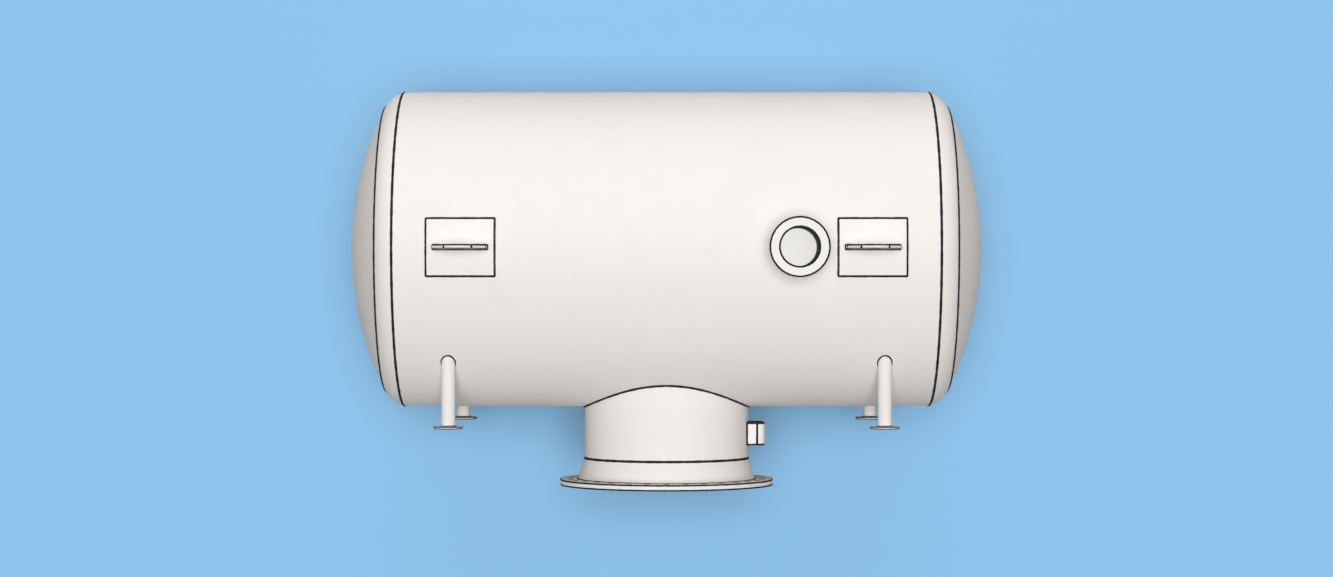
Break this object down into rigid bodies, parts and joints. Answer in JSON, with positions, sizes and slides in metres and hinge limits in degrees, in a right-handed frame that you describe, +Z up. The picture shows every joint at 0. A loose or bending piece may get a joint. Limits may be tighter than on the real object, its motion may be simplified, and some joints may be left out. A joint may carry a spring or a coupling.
{
  "type": "horizontal pressure vessel",
  "caption": "Horizontal steel pressure vessel with dished heads, a large flanged side nozzle, a top nozzle, level-gauge nozzles and lifting lugs, standing on saddles.",
  "frame": {"origin": "on the floor, midway between the four anchor holes and under the middle of the vessel", "axes": "+X along the vessel towards the top nozzle, +Z up, the large side nozzle points to -Y"},
  "size_m": [4.1966, 2.629, 2.731],
  "materials": {
    "shell_paint": "off-white satin paint",
    "nozzle_paint": "off-white satin paint",
    "lug_paint": "off-white satin paint",
    "saddle_paint": "off-white satin paint",
    "weld_bead": "dark brushed weld bead",
    "machined_face": "turned gasket face"
  },
  "bodies": {
    "root": {"shell": "shell_paint", "left_knuckle_ring": "shell_paint", "right_knuckle_ring": "shell_paint", "left_crown_plate": "shell_paint", "right_crown_plate": "shell_paint", "left_lug_pad": "lug_paint", "right_lug_pad": "lug_paint", "left_lifting_lug": "lug_paint", "right_lifting_lug": "lug_paint", "top_nozzle_neck": "nozzle_paint", "top_nozzle_flange": "nozzle_paint", "side_nozzle_neck": "nozzle_paint", "side_nozzle_flange": "nozzle_paint", "neck_bracket": "nozzle_paint", "left_upper_gauge_neck": "nozzle_paint", "left_upper_gauge_flange": "nozzle_paint", "right_upper_gauge_neck": "nozzle_paint", "right_upper_gauge_flange": "nozzle_paint", "left_lower_gauge_neck": "nozzle_paint", "left_lower_gauge_flange": "nozzle_paint", "right_lower_gauge_neck": "nozzle_paint", "right_lower_gauge_flange": "nozzle_paint", "left_wear_plate": "saddle_paint", "left_saddle_web": "saddle_paint", "left_base_plate": "saddle_paint", "left_front_outer_rib": "saddle_paint", "left_front_inner_rib": "saddle_paint", "left_back_inner_rib": "saddle_paint", "left_back_outer_rib": "saddle_paint", "right_wear_plate": "saddle_paint", "right_saddle_web": "saddle_paint", "right_base_plate": "saddle_paint", "right_front_outer_rib": "saddle_paint", "right_front_inner_rib": "saddle_paint", "right_back_inner_rib": "saddle_paint", "right_back_outer_rib": "saddle_paint"}
  },
  "joints": []
}
